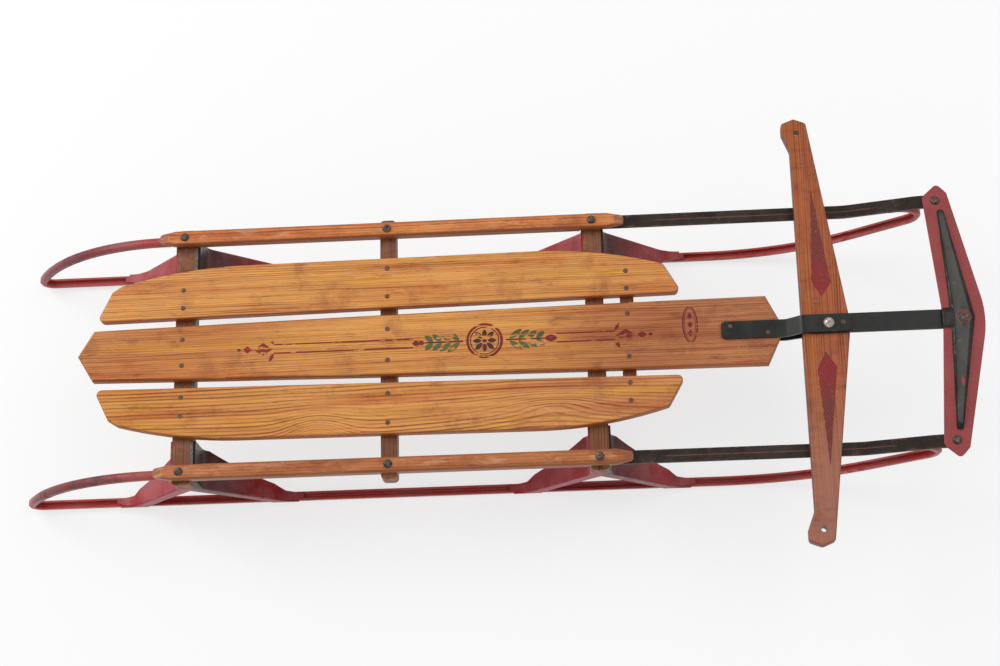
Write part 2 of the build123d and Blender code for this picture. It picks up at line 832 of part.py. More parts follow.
# The tubular rivet that pins the link under the bumper's ridge
eyelet_top = bumper_top + ridge_height
with BuildPart() as eyelet:
    with BuildSketch(Plane.XY.offset(link_underside - running_gap)):
        with Locations((bumper_pin_x, 0)):
            Circle(eyelet_radius)
    extrude(amount=eyelet_top - link_underside + running_gap)
    for level in (link_underside - running_gap - eyelet_lip, eyelet_top):
        with BuildSketch(Plane.XY.offset(level)):
            with Locations((bumper_pin_x, 0)):
                Circle(eyelet_flange)
        extrude(amount=eyelet_lip)
    with Locations(Plane.XY.offset(eyelet_top + eyelet_lip) * Pos(bumper_pin_x, 0)):
        Hole(eyelet_bore)
eyelet.part.label = "bumper_eyelet"
export_step(eyelet.part, "parts/bumper_eyelet.step")
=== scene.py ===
import bmesh
import bpy
import math
from mathutils import Matrix, Vector


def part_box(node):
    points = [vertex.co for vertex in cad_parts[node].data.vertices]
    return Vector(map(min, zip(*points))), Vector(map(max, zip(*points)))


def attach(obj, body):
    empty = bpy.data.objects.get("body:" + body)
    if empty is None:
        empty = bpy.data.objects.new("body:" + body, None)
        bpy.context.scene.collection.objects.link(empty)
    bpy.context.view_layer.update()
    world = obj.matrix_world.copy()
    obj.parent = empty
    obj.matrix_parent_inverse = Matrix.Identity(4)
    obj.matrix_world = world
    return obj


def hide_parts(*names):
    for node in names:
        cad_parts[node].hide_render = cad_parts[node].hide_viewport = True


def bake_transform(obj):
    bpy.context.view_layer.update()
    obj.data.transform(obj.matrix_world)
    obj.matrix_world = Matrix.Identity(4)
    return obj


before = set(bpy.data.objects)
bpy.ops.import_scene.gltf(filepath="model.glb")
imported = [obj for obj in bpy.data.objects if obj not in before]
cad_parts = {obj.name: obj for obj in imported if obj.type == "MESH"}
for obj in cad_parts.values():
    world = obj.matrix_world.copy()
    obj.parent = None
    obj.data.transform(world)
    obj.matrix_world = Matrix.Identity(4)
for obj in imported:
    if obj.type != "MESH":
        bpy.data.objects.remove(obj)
scene = bpy.context.scene
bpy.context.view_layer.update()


# The view: from high on the sled's right side, a little ahead of its middle, with a long
# lens. The floor is one pale sheet, lit from all round and by two large soft lamps.
view_place = (0.1481, -0.7044, 2.3648)
view_heading = math.radians(10.48)
view_tilt = math.radians(18.11)
view_roll = math.radians(-12.28)
camera_data = bpy.data.cameras.new("camera")
camera_data.lens = 72
camera_data.sensor_width = 36
camera = bpy.data.objects.new("camera", camera_data)
turn = Matrix.Rotation(view_heading, 4, "Z") @ Matrix.Rotation(view_tilt, 4, "X")
turn = turn @ Matrix.Rotation(view_roll, 4, "Z")
camera.matrix_world = Matrix.Translation(view_place) @ turn
scene.collection.objects.link(camera)
scene.camera = camera
scene.view_settings.view_transform = "Standard"

floor_half = 12.0
floor_grey = 0.86
floor_glow_share = 0.70
sky_strength = 0.62


def as_mesh(form, name):
    """The mesh of a form that is done, which is freed."""
    mesh = bpy.data.meshes.new(name)
    form.to_mesh(mesh)
    form.free()
    return mesh


form = bmesh.new()
bmesh.ops.create_grid(form, x_segments=1, y_segments=1, size=floor_half)
floor_mesh = as_mesh(form, "floor")
floor = bpy.data.objects.new("floor", floor_mesh)
scene.collection.objects.link(floor)


def new_material(name):
    """A material with its Principled shader, as (material, tree, shader)."""
    made = bpy.data.materials.new(name)
    made.use_nodes = True
    tree = made.node_tree
    return made, tree, tree.nodes["Principled BSDF"]


def connect(tree, value, socket):
    """Gives a socket a constant, or links another socket to it."""
    if isinstance(value, bpy.types.NodeSocket):
        tree.links.new(value, socket)
    else:
        socket.default_value = value


def add(tree, kind, values=None, **settings):
    """Adds a node. values maps a socket's name or number to a constant or to another socket."""
    made = tree.nodes.new(kind)
    for key, value in settings.items():
        setattr(made, key, value)
    for key, value in (values or {}).items():
        connect(tree, value, made.inputs[key])
    return made


def maths(tree, operation, *values):
    """One Math node."""
    made = add(tree, "ShaderNodeMath", dict(enumerate(values)), operation=operation)
    return made.outputs["Value"]


def surface(tree, shader, colour, rough, gloss=0.5):
    """Gives a shader its colour and roughness, as constants or sockets, and its gloss."""
    connect(tree, colour, shader.inputs["Base Color"])
    connect(tree, rough, shader.inputs["Roughness"])
    shader.inputs["Specular IOR Level"].default_value = gloss


# What looks at the floor sees it partly as bright white paper, so its shadows stay light
floor_paint, tree, shader = new_material("floor_paint")
surface(tree, shader, (floor_grey, floor_grey, floor_grey, 1), 0.9, 0.1)
rays = add(tree, "ShaderNodeLightPath")
seen = maths(tree, "ADD", rays.outputs["Is Camera Ray"], rays.outputs["Is Glossy Ray"])
seen = maths(tree, "ADD", seen, rays.outputs["Is Transmission Ray"])
glow = add(tree, "ShaderNodeEmission", {"Color": (1, 1, 1, 1), "Strength": 1.0})
both = add(
    tree,
    "ShaderNodeMixShader",
    {0: maths(tree, "MULTIPLY", seen, floor_glow_share), 1: shader.outputs[0], 2: glow.outputs[0]},
)
tree.links.new(both.outputs[0], tree.nodes["Material Output"].inputs["Surface"])
floor_mesh.materials.append(floor_paint)

world = bpy.data.worlds.new("studio")
scene.world = world
world.use_nodes = True
sky = world.node_tree.nodes["Background"]
sky.inputs["Color"].default_value = (1, 1, 1, 1)
sky.inputs["Strength"].default_value = sky_strength

# columns: place, size, power in watts
for number, (place, size, power) in enumerate(
    [((-2.4, 1.2, 2.2), 2.2, 60), ((1.8, 0.8, 2.8), 2.2, 22)]
):
    lamp_data = bpy.data.lights.new(f"soft_lamp_{number}", "AREA")
    lamp_data.shape = "DISK"
    lamp_data.size = size
    lamp_data.energy = power
    lamp = bpy.data.objects.new(f"soft_lamp_{number}", lamp_data)
    lamp.location = place
    lamp.rotation_euler = (-Vector(place)).to_track_quat("-Z", "Y").to_euler()
    scene.collection.objects.link(lamp)


# Deck boards: three pine boards under old honey-coloured varnish, planed from one
# thickness with their top edges rounded, and screwed down on the beams.
def new_group(name, inputs, outputs):
    """A shader node group, as (group, what it is given, what it puts out)."""
    made = bpy.data.node_groups.new(name, "ShaderNodeTree")
    for side, rows in (("INPUT", inputs), ("OUTPUT", outputs)):
        for label, kind, *default in rows:
            socket = made.interface.new_socket(name=label, in_out=side, socket_type=kind)
            if default:
                socket.default_value = default[0]
    given = made.nodes.new("NodeGroupInput").outputs
    return made, given, made.nodes.new("NodeGroupOutput").inputs


def group(tree, made, values):
    """Places a node group in a tree with its own values, and gives what it puts out."""
    return add(tree, "ShaderNodeGroup", values, node_tree=made).outputs


def object_place(tree):
    """The place of each point of the surface, in the sled's own frame."""
    return add(tree, "ShaderNodeTexCoord").outputs["Object"]


def split(tree, vector):
    """A vector's parts, by the names X, Y and Z."""
    return add(tree, "ShaderNodeSeparateXYZ", {"Vector": vector}).outputs


def span(tree, value, low, high, to_low=0.0, to_high=1.0):
    """A clamped, smooth step of a value from one range to another."""
    made = add(
        tree,
        "ShaderNodeMapRange",
        {"Value": value, "From Min": low, "From Max": high, "To Min": to_low, "To Max": to_high},
        interpolation_type="SMOOTHSTEP",
    )
    return made.outputs["Result"]


def ramp(tree, value, low, width):
    """A clamped, straight step of a value, from low to low + width."""
    high = maths(tree, "ADD", low, width)
    made = add(tree, "ShaderNodeMapRange", {"Value": value, "From Min": low, "From Max": high})
    return made.outputs["Result"]


def blend_colour(tree, mode, factor, first, second):
    """One colour Mix node."""
    values = {0: factor, 6: first, 7: second}
    return add(tree, "ShaderNodeMix", values, data_type="RGBA", blend_type=mode).outputs[2]


def noise(tree, vector, scale, detail=2.0, roughness=0.5):
    """Noise at a place, with scale cells a metre."""
    values = {"Vector": vector, "Scale": scale, "Detail": detail, "Roughness": roughness}
    return add(tree, "ShaderNodeTexNoise", values).outputs["Fac"]


def stretched(tree, vector, scale):
    """A place stretched along the axes."""
    return add(tree, "ShaderNodeMapping", {"Vector": vector, "Scale": scale}).outputs[0]


def long_noise(tree, vector, along, across, detail=2.0, roughness=0.5):
    """Noise drawn out along X, with its cells a metre along and across."""
    drawn = stretched(tree, vector, (along, across, across))
    return noise(tree, drawn, 1.0, detail, roughness)


def relief(tree, shader, height, strength, distance):
    """Feeds a height to a shader's normal through one Bump node."""
    made = add(
        tree, "ShaderNodeBump", {"Height": height, "Strength": strength, "Distance": distance}
    )
    tree.links.new(made.outputs["Normal"], shader.inputs["Normal"])


FLOAT, COLOUR, VECTOR = "NodeSocketFloat", "NodeSocketColor", "NodeSocketVector"

# Year rings cut lengthwise: lines along X that lean, wander and swell
wood_grain, given, result = new_group(
    "wood_grain",
    [
        ("Vector", VECTOR),
        ("Shift", FLOAT, 0.0),
        ("Lean", FLOAT, 0.7),
        ("Ring Width", FLOAT, 0.0034),
        ("Wander", FLOAT, 0.010),
        ("Early Wood", COLOUR, (0.6, 0.3, 0.1, 1)),
        ("Late Wood", COLOUR, (0.3, 0.12, 0.04, 1)),
        ("Line Strength", FLOAT, 0.6),
    ],
    [("Color", COLOUR), ("Height", FLOAT)],
)
tree = wood_grain
place = given["Vector"]
slow = maths(tree, "SUBTRACT", long_noise(tree, place, 2.2, 9.0), 0.5)
quick_drift = maths(tree, "SUBTRACT", long_noise(tree, place, 9.0, 70.0), 0.5)
drift = maths(tree, "MULTIPLY_ADD", quick_drift, 0.35, slow)
drift = maths(tree, "MULTIPLY", drift, given["Wander"])
parts = split(tree, place)
across = maths(tree, "MULTIPLY_ADD", parts["Z"], given["Lean"], parts["Y"])
across = maths(tree, "ADD", across, given["Shift"])
across = maths(tree, "ADD", across, drift)
# Rings are counted from well outside the tree, so that their numbers stay positive
rings = maths(tree, "DIVIDE", maths(tree, "ADD", across, 10.0), given["Ring Width"])
phase = maths(tree, "FRACT", rings)
rise = span(tree, phase, 0.40, 0.85)
fall = span(tree, phase, 0.88, 1.0, 1.0, 0.0)
each = add(
    tree, "ShaderNodeTexWhiteNoise", {"W": maths(tree, "FLOOR", rings)}, noise_dimensions="1D"
)
late = maths(tree, "MULTIPLY", rise, fall)
late = maths(tree, "MULTIPLY", late, span(tree, each.outputs["Value"], 0.0, 1.0, 0.3, 1.0))
# The lines fade out and come back along the board
fade = span(tree, long_noise(tree, place, 7.0, 50.0, 3.0), 0.30, 0.60, 0.4, 1.0)
late = maths(tree, "MULTIPLY", late, fade)
fibre = span(tree, long_noise(tree, place, 14.0, 900.0, 3.0), 0.3, 0.7)
streak = span(tree, long_noise(tree, place, 5.0, 230.0, 4.0, 0.6), 0.36, 0.66)
# Short dark pores lie along the grain
pores = span(tree, long_noise(tree, place, 60.0, 1300.0, 1.0), 0.60, 0.70)
mixed = maths(tree, "MULTIPLY", late, given["Line Strength"])
for lines, share in ((fibre, 0.18), (streak, 0.32), (pores, 0.30)):
    mixed = maths(tree, "MULTIPLY_ADD", lines, share, mixed)
mixed = maths(tree, "MINIMUM", mixed, 1.0)
colour = blend_colour(tree, "MIX", mixed, given["Early Wood"], given["Late Wood"])
# Some stretches are redder, others more yellow
warmth = long_noise(tree, place, 3.0, 60.0, 3.0, 0.6)
for mask, tint in (
    (span(tree, warmth, 0.50, 0.70), (0.84, 0.64, 0.54, 1)),
    (span(tree, warmth, 0.32, 0.48, 1.0, 0.0), (1.06, 1.16, 0.66, 1)),
):
    colour = blend_colour(tree, "MULTIPLY", mask, colour, tint)
tree.links.new(colour, result["Color"])
tree.links.new(maths(tree, "MULTIPLY_ADD", late, 1.5, fibre), result["Height"])

# A place where the ring lines swell sideways, as over a knot or a bend of the trunk
grain_swell, given, result = new_group(
    "grain_swell",
    [
        ("Vector", VECTOR),
        ("X", FLOAT, 0.0),
        ("Y", FLOAT, 0.0),
        ("Half Length", FLOAT, 0.05),
        ("Half Width", FLOAT, 0.02),
        ("Lift", FLOAT, 0.01),
    ],
    [("Shift", FLOAT)],
)
tree = grain_swell
parts = split(tree, given["Vector"])
squares = []
for axis, reach in (("X", "Half Length"), ("Y", "Half Width")):
    away = maths(tree, "SUBTRACT", parts[axis], given[axis])
    away = maths(tree, "DIVIDE", away, given[reach])
    squares.append(maths(tree, "MULTIPLY", away, away))
fading = maths(tree, "EXPONENT", maths(tree, "MULTIPLY", maths(tree, "ADD", *squares), -1.0))
tree.links.new(maths(tree, "MULTIPLY", fading, given["Lift"]), result["Shift"])

# Marks of use: dark smudges, fine scratches and small pale dents
marks_of_use, given, result = new_group(
    "marks_of_use",
    [("Vector", VECTOR), ("Scale", FLOAT, 20.0), ("Amount", FLOAT, 0.4)],
    [("Smudge", FLOAT), ("Scratch", FLOAT), ("Dent", FLOAT)],
)
tree = marks_of_use
place = given["Vector"]
low = maths(tree, "MULTIPLY_ADD", given["Amount"], -0.5, 0.78)
smudge = ramp(tree, noise(tree, place, given["Scale"], 6.0, 0.65), low, 0.2)
# Stains are drawn out a little along the grain, and finely broken
stain = long_noise(tree, place, 22.0, 70.0, 9.0, 0.74)
stain = ramp(tree, stain, maths(tree, "ADD", low, 0.005), 0.14)
smudge = maths(tree, "MAXIMUM", smudge, stain)
turned = add(tree, "ShaderNodeMapping", {"Vector": place, "Rotation": (0, 0, 0.5)}).outputs[0]
lines = noise(tree, stretched(tree, turned, (60.0, 900.0, 60.0)), 1.0, 1.0)
lines = span(tree, lines, 0.66, 0.72)
where = span(tree, noise(tree, place, 28.0, 1.0), 0.55, 0.66)
# The dents have ragged outlines, because their places are shaken a little
shake = maths(tree, "MULTIPLY", noise(tree, place, 500.0), 0.004)
shaken = add(tree, "ShaderNodeVectorMath", {0: place, 1: shake}, operation="ADD")
cells = add(
    tree, "ShaderNodeTexVoronoi", {"Vector": shaken.outputs[0], "Scale": 44.0, "Randomness": 1.0}
)
chosen = add(tree, "ShaderNodeSeparateColor", {"Color": cells.outputs["Color"]})
dent = maths(
    tree,
    "MULTIPLY",
    span(tree, cells.outputs["Distance"], 0.025, 0.075, 1.0, 0.0),
    span(tree, chosen.outputs["Red"], 0.86, 0.89),
)
tree.links.new(smudge, result["Smudge"])
tree.links.new(maths(tree, "MULTIPLY", lines, where), result["Scratch"])
tree.links.new(dent, result["Dent"])

honey = (0.75, 0.342, 0.094, 1)
honey_late = (0.27, 0.080, 0.018, 1)
painted_edge_shade = (0.36, 0.095, 0.020, 1)
varnish_gloss = 0.28
grain_depth = 0.0004
deck_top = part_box("deck_slat_centre")[1].z
edge_depth = 0.0012
edge_skin = 0.00003
tan_raggedness = 0.25


def board_look(tree, coords, row, top):
    """Varnished wood at a place on a board, as (colour, height, tone, smudge)."""
    shift = 0.0
    for swell_x, swell_y, half_length, half_width, lift in row.get("swells", ()):
        values = {"X": swell_x, "Y": swell_y, "Half Length": half_length, "Half Width": half_width}
        made = group(tree, grain_swell, {"Vector": coords, "Lift": lift, **values})
        shift = maths(tree, "ADD", made["Shift"], shift)
    wood = group(
        tree,
        wood_grain,
        {
            "Vector": coords,
            "Shift": shift,
            "Ring Width": row["ring"],
            "Wander": row["wander"],
            "Early Wood": row["early"],
            "Late Wood": row["late"],
            "Line Strength": row["lines"],
        },
    )
    colour = wood["Color"]
    parts = split(tree, coords)
    tone = long_noise(tree, coords, 5.0, 16.0, 3.0)
    colour = blend_colour(
        tree, "MULTIPLY", span(tree, tone, 0.42, 0.68, 0.0, 0.6), colour, (0.84, 0.66, 0.52, 1)
    )
    # The varnish is browner towards the ends, where it was handled
    ragged = maths(tree, "MULTIPLY_ADD", tone, tan_raggedness, parts["X"])
    ragged = maths(tree, "SUBTRACT", ragged, tan_raggedness / 2)
    for tan_from, tan_to, tan_colour in row["tans"]:
        tanned = span(tree, ragged, tan_from, tan_to)
        colour = blend_colour(tree, "MULTIPLY", tanned, colour, tan_colour)
    marks = group(tree, marks_of_use, {"Vector": coords, "Scale": 26.0, "Amount": row["worn"]})
    smudge = marks["Smudge"]
    for mode, mask, strength, mark in (
        ("MULTIPLY", smudge, 0.75, (0.50, 0.36, 0.40, 1)),
        ("MIX", marks["Scratch"], 0.35, (0.75, 0.50, 0.26, 1)),
        ("MIX", marks["Dent"], 0.5, (0.80, 0.56, 0.30, 1)),
    ):
        colour = blend_colour(tree, mode, maths(tree, "MULTIPLY", mask, strength), colour, mark)
    # Round the top edges and down the sides the colour is darker and redder, a painted shade
    edge = span(tree, parts["Z"], top - edge_depth, top - edge_skin, 0.95, 0.0)
    colour = blend_colour(tree, "MIX", edge, colour, row["edge"])
    return colour, wood["Height"], tone, smudge


def board_material(name, row, top):
    """The varnished wood of one board."""
    made, tree, shader = new_material(name)
    colour, height, tone, smudge = board_look(tree, object_place(tree), row, top)
    rough = span(tree, tone, 0.3, 0.8, row["rough"], row["rough"] + 0.16)
    rough = maths(tree, "MULTIPLY_ADD", smudge, 0.2, rough)
    surface(tree, shader, colour, rough, varnish_gloss)
    relief(tree, shader, height, 0.22, grain_depth)
    return made


def repaint(node, material):
    """Gives a CAD node one material."""
    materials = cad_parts[node].data.materials
    materials.clear()
    materials.append(material)


# columns of tans: X where it starts, X where it is full, colour
plain_board = {
    "early": honey,
    "late": honey_late,
    "edge": painted_edge_shade,
    "rough": 0.36,
    "worn": 0.46,
    "ring": 0.0027,
    "wander": 0.012,
    "lines": 0.62,
    "tans": [(0.10, 0.22, (0.96, 0.90, 0.95, 1))],
}
centre_board = {
    **plain_board,
    "tans": [(0.00, 0.24, (0.69, 0.60, 0.88, 1)), (-0.16, -0.36, (0.84, 0.74, 0.76, 1))],
}
# columns of swells: X, Y, half length, half width, lift
right_board = {
    **plain_board,
    "ring": 0.0047,
    "lines": 0.98,
    "swells": [
        (-0.198, -0.116, 0.034, 0.030, -0.030),
        (0.078, -0.081, 0.046, 0.013, -0.013),
        (0.075, -0.115, 0.120, 0.050, -0.016),
    ],
    "tans": [(-0.08, 0.14, (0.90, 0.86, 1.12, 1)), (-0.26, -0.40, (0.98, 1.02, 0.72, 1))],
}
for node, row in (
    ("deck_slat_left", plain_board),
    ("deck_slat_centre", centre_board),
    ("deck_slat_right", right_board),
):
    repaint(node, board_material(f"varnish_{node}", row, deck_top))


# Deck screws: small dark slotted steel screws, two through each board into the rear beam,
# the middle beam and the cleat, their heads nearly flush in a ring of dirt.
def cut_across(form, place, normal, dist=0.0):
    """Cuts a form along a plane and keeps both sides."""
    everything = form.verts[:] + form.edges[:] + form.faces[:]
    bmesh.ops.bisect_plane(form, geom=everything, plane_co=place, plane_no=normal, dist=dist)


def domed_head(radius, height, skirt=0.0, steps=16, slot_width=0.0, slot_depth=0.0):
    """A domed head on its seat at the origin, as a mesh.

    A skirt reaches below the seat, and a slot that has a width lies along Y.
    """
    form = bmesh.new()
    # columns: share of the radius, share of the height
    outline = [(0.0, 1.0), (0.45, 0.93), (0.8, 0.64), (1.0, 0.2), (1.0, 0.0)]
    points = [form.verts.new((radius * out, 0, height * up)) for out, up in outline]
    points.append(form.verts.new((radius, 0, -skirt)))
    points.append(form.verts.new((0, 0, -skirt)))
    edges = [form.edges.new(pair) for pair in zip(points, points[1:])]
    bmesh.ops.spin(
        form,
        geom=points + edges,
        cent=(0, 0, 0),
        axis=(0, 0, 1),
        angle=math.tau,
        steps=steps,
        use_merge=True,
    )
    bmesh.ops.remove_doubles(form, verts=form.verts, dist=radius / 1000)
    bmesh.ops.recalc_face_normals(form, faces=form.faces)
    if slot_width:
        for side in (-1, 1):
            cut_across(form, (side * slot_width / 2, 0, 0), (1, 0, 0))
        in_slot = [
            face
            for face in form.faces
            if abs(face.calc_center_median().x) < slot_width / 2 and face.normal.z > 0.2
        ]
        made = bmesh.ops.extrude_face_region(form, geom=in_slot)
        bmesh.ops.delete(form, geom=in_slot, context="FACES")
        for item in made["geom"]:
            if isinstance(item, bmesh.types.BMVert):
                item.co.z = min(item.co.z, height - slot_depth)
        bmesh.ops.remove_doubles(form, verts=form.verts, dist=radius / 1000)
        bmesh.ops.dissolve_degenerate(form, edges=form.edges, dist=radius / 1000)
        bmesh.ops.recalc_face_normals(form, faces=form.faces)
    return as_mesh(form, "head")


def joined(name, mesh, places, material, body, angle=30):
    """One piece of many copies of a mesh, each at its matrix."""
    form = bmesh.new()
    for matrix in places:
        copy = mesh.copy()
        copy.transform(matrix)
        form.from_mesh(copy)
        bpy.data.meshes.remove(copy)
    return finished(name, as_mesh(form, name), [material], body, angle)


def raised(form, faces, depth):
    """Gives flat faces a small thickness upwards."""
    made = bmesh.ops.extrude_face_region(form, geom=faces)
    lifted = [item for item in made["geom"] if isinstance(item, bmesh.types.BMVert)]
    bmesh.ops.translate(form, verts=lifted, vec=(0, 0, depth))


def finished(name, mesh, materials, body, angle=30):
    """A piece made from a mesh, shaded smooth up to an angle. It rides on a body, if given."""
    for material in materials:
        mesh.materials.append(material)
    mesh.shade_smooth()
    mesh.set_sharp_from_angle(angle=math.radians(angle))
    piece = bpy.data.objects.new(name, mesh)
    scene.collection.objects.link(piece)
    if body:
        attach(piece, body)
    return piece


def steel_material(name, tones, metal, rough):
    """Dull old steel, mottled between three tones."""
    made, tree, shader = new_material(name)
    dark, middle, light = tones
    mottle = noise(tree, object_place(tree), 300.0, 4.0)
    colour = blend_colour(tree, "MIX", span(tree, mottle, 0.3, 0.5), dark, middle)
    colour = blend_colour(tree, "MIX", span(tree, mottle, 0.5, 0.72), colour, light)
    surface(tree, shader, colour, span(tree, mottle, 0.3, 0.7, rough, rough + 0.2))
    shader.inputs["Metallic"].default_value = metal
    relief(tree, shader, mottle, 0.3, 0.0001)
    return made


dark_steel = steel_material(
    "dark_steel",
    [(0.035, 0.022, 0.016, 1), (0.085, 0.062, 0.048, 1), (0.20, 0.165, 0.14, 1)],
    metal=0.6,
    rough=0.36,
)
screw_steel = steel_material(
    "screw_steel",
    [(0.040, 0.022, 0.014, 1), (0.12, 0.066, 0.040, 1), (0.24, 0.15, 0.095, 1)],
    metal=0.2,
    rough=0.5,
)
screw_radius = 0.0024
screw_height = 0.0005
screw_mesh = domed_head(screw_radius, screw_height, 0.0004, slot_width=0.0008, slot_depth=0.0004)
# The slots lie as the screws happened to stop, each turned on by this much from the last
slot_turn = 2.4
# columns: node under the screws, places across the outer boards, place across the centre board
screw_rows = [
    ("rear_beam", (0.0775, 0.0550), 0.016),
    ("middle_beam", (0.0945, 0.0595), 0.019),
    ("front_cleat", (0.0790, 0.0575), 0.026),
]
screw_places = []
for node, outer, centre in screw_rows:
    low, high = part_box(node)
    row_x = (low.x + high.x) / 2
    for screw_y in (*outer, centre):
        for side in (-1, 1):
            spot = Matrix.Translation((row_x, side * screw_y, deck_top))
            stop = Matrix.Rotation(slot_turn * len(screw_places), 4, "Z")
            screw_places.append(spot @ stop)
joined("deck_screws", screw_mesh, screw_places, screw_steel, "frame")

dirt_width = 0.0006
dirt_depth = 0.00012
form = bmesh.new()
bmesh.ops.create_circle(form, cap_ends=True, segments=20, radius=screw_radius + dirt_width)
raised(form, form.faces[:], dirt_depth)
bmesh.ops.recalc_face_normals(form, faces=form.faces)
ring_mesh = as_mesh(form, "dirt_ring")
screw_dirt, tree, shader = new_material("screw_dirt")
dirt = span(tree, noise(tree, object_place(tree), 900.0, 3.0), 0.35, 0.65)
dirt_colour = blend_colour(tree, "MIX", dirt, (0.085, 0.030, 0.014, 1), (0.17, 0.062, 0.024, 1))
surface(tree, shader, dirt_colour, 0.7)
joined("deck_screw_rings", ring_mesh, screw_places, screw_dirt, "frame")


# Deck ornament: thin transfer paint on the centre board, worn through along the grain. A
# rosette in a ring stands between leaf sprigs, with double lines out to lozenges.
def petal(form, x, y, angle, length, width, sharp=0.4):
    """A pointed leaf, lying flat, from its base at x, y outwards along angle."""
    made = bmesh.ops.create_circle(form, cap_ends=True, segments=20, radius=1.0)
    for vert in made["verts"]:
        vert.co.y *= max(1 - vert.co.x**2, 0.0) ** sharp
    place = Matrix.Translation((x, y, 0)) @ Matrix.Rotation(angle, 4, "Z")
    place = place @ Matrix.Translation((length / 2, 0, 0)) @ Matrix.Diagonal((length / 2, width / 2, 1, 1))
    bmesh.ops.transform(form, matrix=place, verts=made["verts"])


def stripe(form, x, y, length, width):
    """A flat strip centred at x, y."""
    place = Matrix.Translation((x, y, 0)) @ Matrix.Diagonal((length, width, 1, 1))
    bmesh.ops.create_grid(form, x_segments=1, y_segments=1, size=0.5, matrix=place)


def lozenge(form, x, y, length, width):
    """A flat lozenge centred at x, y."""
    place = Matrix.Translation((x, y, 0)) @ Matrix.Diagonal((length / 2, width / 2, 1, 1))
    bmesh.ops.create_circle(form, cap_ends=True, segments=4, radius=1.0, matrix=place)


def hoop(form, x, y, half_length, half_width, band):
    """A flat oval band centred at x, y."""
    edges = []
    for inset in (0, band):
        size = Matrix.Diagonal((half_length - inset, half_width - inset, 1, 1))
        place = Matrix.Translation((x, y, 0)) @ size
        made = bmesh.ops.create_circle(form, segments=40, radius=1.0, matrix=place)
        ends = set(made["verts"])
        edges += [edge for edge in form.edges if edge.verts[0] in ends and edge.verts[1] in ends]
    bmesh.ops.bridge_loops(form, edges=edges)


def transfer_material(name, paint, shade, wear):
    """Transfer paint over the centre board, worn through to its varnish along the grain."""
    made, tree, shader = new_material(name)
    coords = object_place(tree)
    colour, height, tone, _ = board_look(tree, coords, centre_board, deck_top)
    fine = long_noise(tree, coords, 45.0, 220.0, 5.0, 0.7)
    broad = noise(tree, coords, 46.0, 2.0)
    bare = maths(tree, "MULTIPLY_ADD", broad, 0.6, fine)
    bare = span(tree, bare, 1.02 - wear, 1.07 - wear)
    inked = blend_colour(tree, "MIX", span(tree, tone, 0.35, 0.65), paint, shade)
    colour = blend_colour(tree, "MIX", bare, inked, colour)
    surface(tree, shader, colour, 0.5, varnish_gloss)
    relief(tree, shader, height, 0.2, 0.0003)
    return made


paint_depth = 0.0001
ornament_x = -0.002
ring_radius = 0.0215
ring_band = 0.0030
inner_ring_radius = ring_radius - 0.0044
inner_ring_band = 0.0012
rosette_petals = 8
rosette_eye = 0.0035
long_petal = 0.0120
short_petal = 0.0102
petal_width = 0.0056
eye_size = 0.0052
stem_x = 0.0475
stem_length = 0.045
stem_width = 0.0016
leaf_pairs = 4
first_leaf_x = 0.029
leaf_step = 0.0105
leaf_lean = math.radians(38)
leaf_y = 0.0012
leaf_length = 0.0185
leaf_shortening = 0.0022
leaf_width = 0.0066
bud_x = 0.0700
bud_length = 0.0150
bud_width = 0.0085
line_gap = 0.0052
line_width = 0.0017
line_start = 0.084
line_end_rear = -0.250
line_end_front = 0.150
curl_y = 0.0058
curl_lean = 0.5
curl_length = 0.0105
curl_width = 0.0042
# columns: ink, place past the end of the lines, length, width
end_lozenges = [
    ("red", 0.0125, 0.023, 0.0155),
    ("red", 0.0310, 0.012, 0.0085),
    ("brown", 0.0410, 0.006, 0.0044),
]
oval_x = 0.2372
oval_y = 0.0095
oval_half_length = 0.0092
oval_half_width = 0.0225
oval_band = 0.0017
inner_oval_inset = 0.0026
inner_oval_band = 0.0006
oval_lozenge_step = 0.0105
oval_lozenge_length = 0.0062
oval_lozenge_width = 0.0085
ornament = {"red": bmesh.new(), "brown": bmesh.new(), "green": bmesh.new()}
hoop(ornament["red"], ornament_x, 0, ring_radius, ring_radius, ring_band)
hoop(ornament["brown"], ornament_x, 0, inner_ring_radius, inner_ring_radius, inner_ring_band)
for number in range(rosette_petals):
    angle = number * math.tau / rosette_petals
    base_x = ornament_x + rosette_eye * math.cos(angle)
    base_y = rosette_eye * math.sin(angle)
    length = long_petal if number % 2 else short_petal
    petal(ornament["brown"], base_x, base_y, angle, length, petal_width)
petal(ornament["red"], ornament_x - eye_size / 2, 0, 0, eye_size, eye_size, 0.0)
for way, line_end in ((-1, line_end_rear), (1, line_end_front)):
    heading = 0 if way > 0 else math.pi
    stripe(ornament["brown"], ornament_x + way * stem_x, 0, stem_length, stem_width)
    for step in range(leaf_pairs):
        base_x = ornament_x + way * (first_leaf_x + leaf_step * step)
        length = leaf_length - leaf_shortening * step
        for side in (-1, 1):
            lean = heading + way * side * leaf_lean
            petal(ornament["green"], base_x, side * leaf_y, lean, length, leaf_width)
    petal(ornament["red"], ornament_x + way * bud_x, 0, heading, bud_length, bud_width)
    start = ornament_x + way * line_start
    for side in (-1, 1):
        middle = (start + line_end) / 2
        stripe(ornament["red"], middle, side * line_gap, abs(line_end - start), line_width)
    for ink, past, length, width in end_lozenges:
        lozenge(ornament[ink], line_end + way * past, 0, length, width)
    for side in (-1, 1):
        lean = math.pi / 2 * side - way * side * curl_lean
        petal(ornament["red"], line_end, side * curl_y, lean, curl_length, curl_width)
hoop(ornament["red"], oval_x, oval_y, oval_half_length, oval_half_width, oval_band)
hoop(
    ornament["brown"],
    oval_x,
    oval_y,
    oval_half_length - inner_oval_inset,
    oval_half_width - inner_oval_inset,
    inner_oval_band,
)
